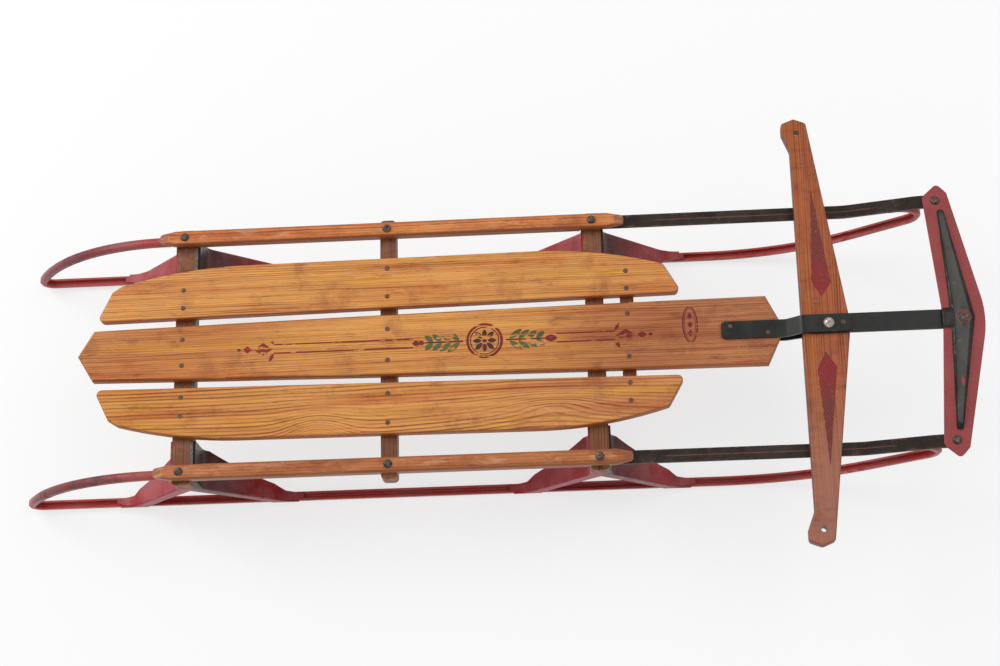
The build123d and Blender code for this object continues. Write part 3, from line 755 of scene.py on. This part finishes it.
for step in (-1, 0, 1):
    spot_y = oval_y + step * oval_lozenge_step
    lozenge(ornament["red"], oval_x, spot_y, oval_lozenge_length, oval_lozenge_width)
# columns: paint, its shade, wear
inks = {
    "red": ((0.24, 0.013, 0.012, 1), (0.14, 0.012, 0.012, 1), 0.16),
    "brown": ((0.035, 0.012, 0.008, 1), (0.075, 0.024, 0.014, 1), 0.14),
    "green": ((0.045, 0.072, 0.028, 1), (0.105, 0.115, 0.036, 1), 0.17),
}
for ink, form in ornament.items():
    raised(form, form.faces[:], paint_depth)
    bmesh.ops.translate(form, verts=form.verts, vec=(0, 0, deck_top))
    bmesh.ops.recalc_face_normals(form, faces=form.faces)
    paint = transfer_material(f"transfer_{ink}", *inks[ink])
    name = f"ornament_{ink}"
    finished(name, as_mesh(form, name), [paint], "frame")


# Side rails: straight-grained strips of the same wood, darker with handling and rubbed
# pale along their tops, bolted down over the beam ends.
rail_low, rail_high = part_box("side_rail_left")
rail_row = {
    **plain_board,
    "early": (0.51, 0.176, 0.058, 1),
    "late": (0.22, 0.065, 0.022, 1),
    "edge": (0.28, 0.085, 0.028, 1),
    "ring": 0.0036,
    "wander": 0.008,
    "lines": 0.85,
    "rough": 0.34,
    "worn": 0.58,
    "tans": [],
}
rail_middle = (rail_low.y + rail_high.y) / 2
rail_gloss = 0.3
left_rail = {**rail_row, "early": (0.74, 0.265, 0.078, 1), "late": (0.31, 0.092, 0.026, 1)}
for node, row in (("side_rail_left", left_rail), ("side_rail_right", rail_row)):
    made, tree, shader = new_material(f"varnish_{node}")
    coords = object_place(tree)
    colour, height, tone, _ = board_look(tree, coords, row, rail_high.z)
    off_middle = maths(tree, "ABSOLUTE", split(tree, coords)["Y"])
    off_middle = maths(tree, "ABSOLUTE", maths(tree, "SUBTRACT", off_middle, rail_middle))
    rubbed = span(tree, long_noise(tree, coords, 30.0, 130.0, 6.0, 0.68), 0.50, 0.64)
    rubbed = maths(tree, "MULTIPLY", rubbed, span(tree, off_middle, 0.0, 0.008, 0.75, 0.15))
    colour = blend_colour(tree, "MIX", rubbed, colour, (0.60, 0.29, 0.15, 1))
    rough = span(tree, tone, 0.3, 0.8, row["rough"], row["rough"] + 0.18)
    surface(tree, shader, colour, rough, rail_gloss)
    relief(tree, shader, height, 0.25, grain_depth)
    repaint(node, made)


# Cross beams and cleat: plain hardwood under dark brown varnish, rubbed at their ends,
# with the grain along them. A thin steel strip stiffens the front of the rear one.
def turned_coords(tree):
    """Object coordinates turned a quarter, for grain that runs across the sled."""
    coords = object_place(tree)
    quarter = (0, 0, math.radians(90))
    return coords, add(tree, "ShaderNodeMapping", {"Vector": coords, "Rotation": quarter}).outputs[0]


made, tree, shader = new_material("varnish_beams")
coords, turned = turned_coords(tree)
wood = group(
    tree,
    wood_grain,
    {
        "Vector": turned,
        "Ring Width": 0.0034,
        "Early Wood": (0.220, 0.074, 0.027, 1),
        "Late Wood": (0.085, 0.028, 0.013, 1),
        "Line Strength": 0.75,
    },
)
marks = group(tree, marks_of_use, {"Vector": coords, "Scale": 40.0, "Amount": 0.5})
rubbed = maths(tree, "MULTIPLY", marks["Smudge"], 0.55)
colour = blend_colour(tree, "MIX", rubbed, wood["Color"], (0.33, 0.15, 0.075, 1))
parts = split(tree, coords)
end_wear = span(tree, maths(tree, "ABSOLUTE", parts["Y"]), 0.128, 0.150, 0.0, 0.55)
end_wear = maths(tree, "MULTIPLY", end_wear, span(tree, noise(tree, coords, 90.0, 3.0), 0.4, 0.6))
colour = blend_colour(tree, "MIX", end_wear, colour, (0.46, 0.21, 0.10, 1))
surface(tree, shader, colour, 0.5, rail_gloss)
relief(tree, shader, wood["Height"], 0.3, grain_depth)
for node in ("rear_beam", "middle_beam", "front_beam", "front_cleat"):
    repaint(node, made)
strip_steel = steel_material(
    "strip_steel",
    [(0.050, 0.040, 0.033, 1), (0.115, 0.098, 0.082, 1), (0.24, 0.215, 0.19, 1)],
    metal=0.5,
    rough=0.42,
)
repaint("rear_beam_strip", strip_steel)


# Runners: grooved steel bent to shape, in deep red enamel worn brown at the rear bends.
# Their front ends bend sideways with the side bars that they are fixed to.
worn_enamel, given, result = new_group(
    "worn_enamel",
    [
        ("Vector", VECTOR),
        ("Paint", COLOUR, (0.3, 0.04, 0.04, 1)),
        ("Faded", COLOUR, (0.3, 0.1, 0.1, 1)),
        ("Worn", COLOUR, (0.15, 0.09, 0.07, 1)),
        ("Wear", FLOAT, 0.4),
        ("Rub", FLOAT, 0.0),
        ("Scale", FLOAT, 30.0),
    ],
    [("Color", COLOUR), ("Roughness", FLOAT), ("Height", FLOAT)],
)
tree = worn_enamel
place = given["Vector"]
fading = noise(tree, place, given["Scale"], 4.0, 0.6)
faded = span(tree, fading, 0.35, 0.7, 0.0, 0.8)
colour = blend_colour(tree, "MIX", faded, given["Paint"], given["Faded"])
finer = maths(tree, "MULTIPLY", given["Scale"], 1.7)
chips = noise(tree, place, finer, 8.0, 0.72)
chips = maths(tree, "MULTIPLY_ADD", given["Rub"], 0.3, chips)
low = maths(tree, "MULTIPLY_ADD", given["Wear"], -0.45, 0.8)
chip = ramp(tree, chips, low, 0.14)
colour = blend_colour(tree, "MIX", chip, colour, given["Worn"])
dust = span(tree, noise(tree, place, 420.0, 2.0), 0.4, 0.75, 0.0, 0.35)
colour = blend_colour(tree, "MULTIPLY", dust, colour, (0.6, 0.55, 0.55, 1))
rough = maths(tree, "MULTIPLY_ADD", chip, 0.22, span(tree, fading, 0.3, 0.7, 0.24, 0.42))
tree.links.new(colour, result["Color"])
tree.links.new(rough, result["Roughness"])
tree.links.new(maths(tree, "SUBTRACT", 1.0, chip), result["Height"])


enamel_gloss = 0.2
enamel_depth = 0.0004
bend_step = 0.0085
merge_reach = 0.000002
cut_slack = 0.000001


def enamel(tree, shader, coords, paint, faded, worn, wear, scale, rub=0.0, recolour=None):
    """Old enamel on steel. recolour may change its colour before it reaches the shader."""
    values = {"Paint": paint, "Faded": faded, "Worn": worn, "Wear": wear, "Scale": scale, "Rub": rub}
    coat = group(tree, worn_enamel, {"Vector": coords, **values})
    colour = coat["Color"]
    if recolour:
        colour = recolour(tree, colour)
    surface(tree, shader, colour, coat["Roughness"], enamel_gloss)
    relief(tree, shader, coat["Height"], 0.5, enamel_depth)


def merged_form(node):
    """A CAD node's mesh as a form, its loose triangles merged."""
    form = bmesh.new()
    form.from_mesh(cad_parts[node].data)
    bmesh.ops.remove_doubles(form, verts=form.verts, dist=merge_reach)
    return form


def bending_piece(node, bend, material):
    """Replaces a CAD node by a copy for a piece that bends between the frame and its side bar.

    The copy rides on no body, is cut across over the stretch of the bend, and keeps each point's rest
    place for its paint.
    """
    form = merged_form(node)
    bend_from, bend_to = bend
    for number in range(round((bend_to - bend_from) / bend_step) + 1):
        cut_across(form, (bend_from + number * bend_step, 0, 0), (1, 0, 0), cut_slack)
    name = f"bent_{node}"
    mesh = as_mesh(form, name)
    rest = mesh.attributes.new("rest_place", "FLOAT_VECTOR", "POINT")
    for vertex, row in zip(mesh.vertices, rest.data):
        row.vector = vertex.co
    piece = finished(name, mesh, [material], None, angle=32)
    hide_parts(node)
    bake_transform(piece)


runner_enamel, tree, shader = new_material("runner_enamel")
coords = add(tree, "ShaderNodeAttribute", attribute_name="rest_place").outputs["Vector"]
parts = split(tree, coords)
at_rear = span(tree, parts["X"], -0.50, -0.36, 1.0, 0.0)
up_high = span(tree, parts["Z"], 0.012, 0.05)
dulled = maths(tree, "MULTIPLY", at_rear, up_high)
enamel(
    tree,
    shader,
    coords,
    paint=(0.41, 0.046, 0.042, 1),
    faded=(0.40, 0.092, 0.082, 1),
    worn=(0.165, 0.052, 0.050, 1),
    wear=0.42,
    scale=22.0,
    rub=maths(tree, "MULTIPLY", dulled, 0.35),
    recolour=lambda tree, colour: blend_colour(tree, "MULTIPLY", dulled, colour, (0.52, 0.86, 1.0, 1)),
)
runner_bend = (0.245, 0.500)
for side in ("left", "right"):
    bending_piece(f"runner_{side}", runner_bend, runner_enamel)


# Knees: arched sheet steel pressed over the runners and under the beams, in red enamel
# faded pink in patches. Their forward legs darken to brown, partly worn paint and partly
# painted shade, and go near black high up under the rails, a painted shadow.
def knee_material(name, beam_x):
    """The enamel of the knees under one beam."""
    made, tree, shader = new_material(name)
    coords = object_place(tree)
    parts = split(tree, coords)
    ragged = maths(tree, "SUBTRACT", noise(tree, coords, 24.0, 5.0, 0.62), 0.5)
    ahead = maths(tree, "MULTIPLY_ADD", ragged, 0.04, parts["X"])
    height = maths(tree, "MULTIPLY_ADD", ragged, 0.06, parts["Z"])
    forward = span(tree, ahead, beam_x, beam_x + 0.012)
    # Ahead of the beam the enamel darkens to brown, more so higher up: partly worn paint, partly painted
    # shade
    brown = maths(tree, "MULTIPLY", forward, span(tree, height, 0.030, 0.085, 0.25, 1.0))
    # High on the forward legs, under the rails, a painted shadow turns it near black
    dark = maths(tree, "MULTIPLY", forward, span(tree, height, 0.075, 0.112))

    def forward_wear_and_shade(tree, colour):
        colour = blend_colour(tree, "MULTIPLY", brown, colour, (0.34, 0.72, 0.62, 1))
        return blend_colour(tree, "MIX", dark, colour, (0.036, 0.020, 0.016, 1))

    enamel(
        tree,
        shader,
        coords,
        paint=(0.34, 0.026, 0.032, 1),
        faded=(0.42, 0.105, 0.115, 1),
        worn=(0.13, 0.040, 0.036, 1),
        wear=0.50,
        scale=34.0,
        recolour=forward_wear_and_shade,
    )
    return made


for place in ("rear", "front"):
    low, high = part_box(f"{place}_beam")
    paint = knee_material(f"knee_enamel_{place}", (low.x + high.x) / 2)
    for side in ("left", "right"):
        repaint(f"knee_{place}_{side}", paint)


# Side bars: flat spring steel in black enamel with one thin painted line, bolted under
# the rails' front ends. They bend behind the steering bar when the bumper swings.
bar_low, bar_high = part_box("side_bar_left")
bar_middle = (bar_low.y + bar_high.y) / 2
bar_half = (bar_high.y - bar_low.y) / 2
line_from = 0.196
line_to = 0.455
line_fade = 0.01
bar_enamel, tree, shader = new_material("side_bar_enamel")
coords = add(tree, "ShaderNodeAttribute", attribute_name="rest_place").outputs["Vector"]
parts = split(tree, coords)
facing = add(tree, "ShaderNodeNewGeometry").outputs["Normal"]
upward = span(tree, split(tree, facing)["Z"], 0.3, 0.5)
off_line = maths(tree, "SUBTRACT", maths(tree, "ABSOLUTE", parts["Y"]), bar_middle)
off_line = maths(tree, "ABSOLUTE", off_line)
line = span(tree, off_line, 0.0003, 0.0008, 0.55, 0.0)
for mask in (
    span(tree, parts["X"], line_from, line_from + line_fade),
    span(tree, parts["X"], line_to, line_to + line_fade, 1.0, 0.0),
    span(tree, noise(tree, coords, 70.0, 4.0), 0.28, 0.46),
    upward,
):
    line = maths(tree, "MULTIPLY", line, mask)
enamel(
    tree,
    shader,
    coords,
    paint=(0.021, 0.015, 0.013, 1),
    faded=(0.038, 0.027, 0.022, 1),
    worn=(0.105, 0.055, 0.038, 1),
    wear=0.50,
    scale=46.0,
    rub=span(tree, off_line, bar_half - 0.0022, bar_half, 0.0, 0.4),
    recolour=lambda tree, colour: blend_colour(tree, "MIX", line, colour, (0.24, 0.080, 0.040, 1)),
)
bar_bend = (0.165, 0.300)
for side in ("left", "right"):
    bending_piece(f"side_bar_{side}", bar_bend, bar_enamel)


# Straps and steering link: flat steel in black enamel. The straps are screwed to the
# centre board and hold the steering bar between them; the link turns with the bar.
flat_enamel, tree, shader = new_material("flat_enamel")
coords = object_place(tree)
strap_low, strap_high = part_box("upper_strap")
from_middle = maths(tree, "ABSOLUTE", split(tree, coords)["Y"])
enamel(
    tree,
    shader,
    coords,
    paint=(0.016, 0.0175, 0.016, 1),
    faded=(0.030, 0.030, 0.027, 1),
    worn=(0.12, 0.065, 0.04, 1),
    wear=0.33,
    scale=44.0,
    rub=span(tree, from_middle, strap_high.y - 0.0022, strap_high.y + 0.0005, 0.0, 0.45),
)
for node in ("steering_link", "upper_strap", "lower_strap"):
    repaint(node, flat_enamel)
strap_sheet = 0.003
# columns: X, Y, turn of the slot
strap_screws = [(0.2832, 0.0045, 0.7), (0.3262, -0.0045, 2.0)]
strap_screw_places = [
    Matrix.Translation((x, y, strap_low.z + strap_sheet)) @ Matrix.Rotation(stop, 4, "Z")
    for x, y, stop in strap_screws
]
joined("strap_screws", screw_mesh, strap_screw_places, screw_steel, "frame")


# Steering bar: hardwood stained red-brown under thin varnish, shaped to a grip at each
# end, with a long hatched dart painted on each arm.
steering_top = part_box("steering_bar")[1].z
steering_edge_depth = 0.0020
steering_edge_skin = 0.00004
pivot_low, pivot_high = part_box("pivot_bolt")
pivot_x = (pivot_low.x + pivot_high.x) / 2


def steering_look(tree):
    """The varnish of the steering bar, as (place, colour, height)."""
    coords, turned = turned_coords(tree)
    wood = group(
        tree,
        wood_grain,
        {
            "Vector": turned,
            "Ring Width": 0.0030,
            "Wander": 0.012,
            "Early Wood": (0.430, 0.112, 0.033, 1),
            "Late Wood": (0.15, 0.032, 0.012, 1),
            "Line Strength": 0.75,
        },
    )
    marks = group(tree, marks_of_use, {"Vector": coords, "Scale": 34.0, "Amount": 0.50})
    parts = split(tree, coords)
    # The right arm has gone paler and greyer
    pale = span(tree, parts["Y"], -0.20, -0.02, 0.62, 0.0)
    colour = blend_colour(tree, "MIX", pale, wood["Color"], (0.330, 0.150, 0.108, 1))
    smudge = maths(tree, "MULTIPLY", marks["Smudge"], 0.7)
    colour = blend_colour(tree, "MULTIPLY", smudge, colour, (0.52, 0.42, 0.38, 1))
    dent = maths(tree, "MULTIPLY", marks["Dent"], 0.5)
    colour = blend_colour(tree, "MIX", dent, colour, (0.55, 0.27, 0.15, 1))
    edge_from = steering_top - steering_edge_depth
    edge = span(tree, parts["Z"], edge_from, steering_top - steering_edge_skin, 0.9, 0.0)
    colour = blend_colour(tree, "MIX", edge, colour, (0.13, 0.040, 0.022, 1))
    return coords, colour, wood["Height"]


made, tree, shader = new_material("varnish_steering_bar")
coords, colour, height = steering_look(tree)
surface(tree, shader, colour, 0.42, varnish_gloss)
relief(tree, shader, height, 0.25, grain_depth)
repaint("steering_bar", made)

dart_inner = 0.033
dart_shoulder = 0.051
dart_outer = 0.167
dart_middle = -0.0055
dart_front = 0.0062
dart_rear = -0.0152
dart_end = -0.0094
dart_border = 0.0010
scallops = 9
scallop_points = 4
scallop_bulge = 0.0013
dart_hatch = 0.0046


def dart_face(form, side):
    """The flat outline of a dart: straight along its front, scalloped along its rear."""
    outline = [(dart_middle, dart_inner), (dart_front, dart_shoulder), (dart_end, dart_outer)]
    steps = scallops * scallop_points
    for step in range(1, steps + 1):
        share = step / steps
        bulge = scallop_bulge * abs(math.sin(math.pi * step / scallop_points))
        along_x = dart_end + (dart_rear - dart_end) * share
        along_y = dart_outer + (dart_shoulder - dart_outer) * share
        outline.append((along_x - bulge * (0.3 + 0.7 * share), along_y))
    verts = [form.verts.new((pivot_x + x, side * y, steering_top)) for x, y in outline]
    return form.faces.new(verts)


dart_line, tree, shader = new_material("dart_line")
coords, colour, _ = steering_look(tree)
bare = span(tree, noise(tree, coords, 150.0, 5.0, 0.7), 0.56, 0.66, 0.0, 0.75)
colour = blend_colour(tree, "MIX", bare, (0.055, 0.017, 0.012, 1), colour)
surface(tree, shader, colour, 0.5, varnish_gloss)

dart_fill, tree, shader = new_material("dart_fill")
coords, colour, _ = steering_look(tree)
parts = split(tree, coords)
y_size = maths(tree, "ABSOLUTE", parts["Y"])
hatch_way = maths(tree, "MULTIPLY_ADD", parts["X"], 1.3, y_size)
hatch = maths(tree, "FRACT", maths(tree, "DIVIDE", maths(tree, "ADD", hatch_way, 1.0), dart_hatch))
hatched = span(tree, hatch, 0.50, 0.72, 0.0, 0.85)
browned = span(tree, y_size, 0.055, 0.100, 0.0, 0.72)
paint = blend_colour(tree, "MIX", browned, (0.30, 0.018, 0.020, 1), (0.17, 0.040, 0.030, 1))
paint = blend_colour(tree, "MIX", hatched, paint, (0.060, 0.016, 0.013, 1))
bare = span(tree, noise(tree, coords, 260.0, 5.0, 0.7), 0.54, 0.68, 0.0, 0.5)
surface(tree, shader, blend_colour(tree, "MIX", bare, paint, colour), 0.48, varnish_gloss)
for side, name in ((1, "left"), (-1, "right")):
    form = bmesh.new()
    face = dart_face(form, side)
    bmesh.ops.inset_region(form, faces=[face], thickness=dart_border)
    inner = max(form.faces, key=lambda item: item.calc_area())
    inner.material_index = 1
    raised(form, form.faces[:], paint_depth)
    bmesh.ops.recalc_face_normals(form, faces=form.faces)
    mesh = as_mesh(form, f"dart_{name}")
    finished(f"dart_{name}", mesh, [dart_line, dart_fill], "steering")


# Bumper: one red-enamelled pressing, its raised ridge and boss painted black, with a
# worn ring where the link's eyelet turns in it. The pressed forms have soft edges.
bumper_low, bumper_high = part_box("bumper")
bumper_sheet = 0.0025
plate_top = bumper_low.z + bumper_sheet
eyelet_low, eyelet_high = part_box("bumper_eyelet")
eyelet_x = (eyelet_low.x + eyelet_high.x) / 2
softened_above = plate_top + 0.0003
softening_rounds = 16
black_above = plate_top + 0.0004
mark_x = eyelet_x - 0.0075
mark_y = -0.077
mark_half_width = 0.0019
mark_half_length = 0.0070
form = merged_form("bumper")
# columns: direction of the cuts, first and last place, step
for normal, start, end, step in (
    ((1, 0, 0), bumper_low.x, bumper_high.x, 0.0018),
    ((0, 1, 0), bumper_low.y, bumper_high.y, 0.0040),
):
    for number in range(1, round((end - start) / step)):
        cut_across(form, Vector(normal) * (start + number * step), normal, cut_slack)
pressed = [vert for vert in form.verts if vert.co.z > softened_above]
for _ in range(softening_rounds):
    bmesh.ops.smooth_vert(form, verts=pressed, factor=0.5, use_axis_z=True)
bmesh.ops.dissolve_degenerate(form, edges=form.edges, dist=merge_reach)
bumper_mesh = as_mesh(form, "pressed_bumper")
made, tree, shader = new_material("bumper_enamel")
coords = object_place(tree)
parts = split(tree, coords)
ragged = maths(tree, "SUBTRACT", noise(tree, coords, 160.0, 3.0), 0.5)
raised_by = maths(tree, "MULTIPLY_ADD", ragged, 0.0006, parts["Z"])
black_part = span(tree, raised_by, black_above, black_above + 0.0002)
black_wear = span(tree, noise(tree, coords, 90.0, 7.0, 0.7), 0.60, 0.66, 0.0, 0.8)
black_tone = span(tree, noise(tree, coords, 40.0, 3.0), 0.35, 0.65)
black = blend_colour(tree, "MIX", black_tone, (0.013, 0.013, 0.012, 1), (0.034, 0.031, 0.027, 1))
black = blend_colour(tree, "MIX", black_wear, black, (0.13, 0.085, 0.07, 1))
# A painted highlight greys the black along the top of the ridge
crest_highlight = span(tree, parts["Z"], bumper_high.z - 0.0004, bumper_high.z - 0.00005, 0.0, 0.25)
black = blend_colour(tree, "MIX", crest_highlight, black, (0.16, 0.155, 0.145, 1))
ends = {0: coords, 1: (eyelet_x, 0, plate_top)}
away = add(tree, "ShaderNodeVectorMath", ends, operation="DISTANCE").outputs["Value"]
away = maths(tree, "MULTIPLY_ADD", ragged, 0.004, away)
ringed = span(tree, away, 0.0085, 0.0105, 0.75, 0.0)
black = blend_colour(tree, "MIX", ringed, black, (0.22, 0.085, 0.075, 1))
# One small lozenge is painted on the right arm of the ridge
mark = 0.0
for axis, centre, half in (("X", mark_x, mark_half_width), ("Y", mark_y, mark_half_length)):
    off = maths(tree, "ABSOLUTE", maths(tree, "SUBTRACT", parts[axis], centre))
    mark = maths(tree, "ADD", maths(tree, "DIVIDE", off, half), mark)
black = blend_colour(tree, "MIX", span(tree, mark, 0.85, 1.0, 0.9, 0.0), black, (0.42, 0.03, 0.045, 1))
enamel(
    tree,
    shader,
    coords,
    paint=(0.28, 0.040, 0.040, 1),
    faded=(0.31, 0.070, 0.067, 1),
    worn=(0.13, 0.045, 0.040, 1),
    wear=0.34,
    scale=25.0,
    recolour=lambda tree, colour: blend_colour(tree, "MIX", black_part, colour, black),
)
bumper = finished("pressed_bumper", bumper_mesh, [made], "bumper", angle=50)
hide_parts("bumper")


# Bolts, rivet and eyelet: domed carriage bolts gone dark, and a slotted pivot bolt whose
# head the steering has kept bright. A flat rivet stands ahead of it in the strap.
for node in ("rail_bolts", "middle_bolts", "bumper_bolts"):
    repaint(node, dark_steel)
eyelet_paint, tree, shader = new_material("eyelet_paint")
enamel(
    tree,
    shader,
    object_place(tree),
    paint=(0.045, 0.030, 0.026, 1),
    faded=(0.17, 0.055, 0.048, 1),
    worn=(0.36, 0.20, 0.17, 1),
    wear=0.55,
    scale=120.0,
)
repaint("bumper_eyelet", eyelet_paint)
bright_steel = steel_material(
    "bright_steel",
    [(0.22, 0.17, 0.14, 1), (0.50, 0.45, 0.41, 1), (0.75, 0.71, 0.67, 1)],
    metal=0.8,
    rough=0.25,
)
pivot_slot_turn = math.radians(-38)
head_lap = 0.0001
rivet_radius = 0.0028
rivet_height = 0.0012
rivet_ahead = 0.0165
form = merged_form("pivot_bolt")
bmesh.ops.bisect_plane(
    form,
    geom=form.verts[:] + form.edges[:] + form.faces[:],
    plane_co=(0, 0, strap_high.z + head_lap),
    plane_no=(0, 0, 1),
    clear_outer=True,
)
bmesh.ops.holes_fill(form, edges=[edge for edge in form.edges if edge.is_boundary])
head_height = pivot_high.z - strap_high.z
head_mesh = domed_head(pivot_high.y, head_height, steps=32, slot_width=0.0017, slot_depth=0.0014)
seat = Matrix.Translation((pivot_x, 0, strap_high.z))
head_mesh.transform(seat @ Matrix.Rotation(pivot_slot_turn, 4, "Z"))
form.from_mesh(head_mesh)
bmesh.ops.recalc_face_normals(form, faces=form.faces)
pivot_mesh = as_mesh(form, "slotted_pivot_bolt")
pivot_bolt = finished(
    "slotted_pivot_bolt", pivot_mesh, [bright_steel], "frame", angle=35
)
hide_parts("pivot_bolt")
rivet_mesh = domed_head(rivet_radius, rivet_height, skirt=0.0004)
rivet_place = Matrix.Translation((pivot_x + rivet_ahead, 0, strap_high.z))
joined("strap_rivet", rivet_mesh, [rivet_place], screw_steel, "frame")
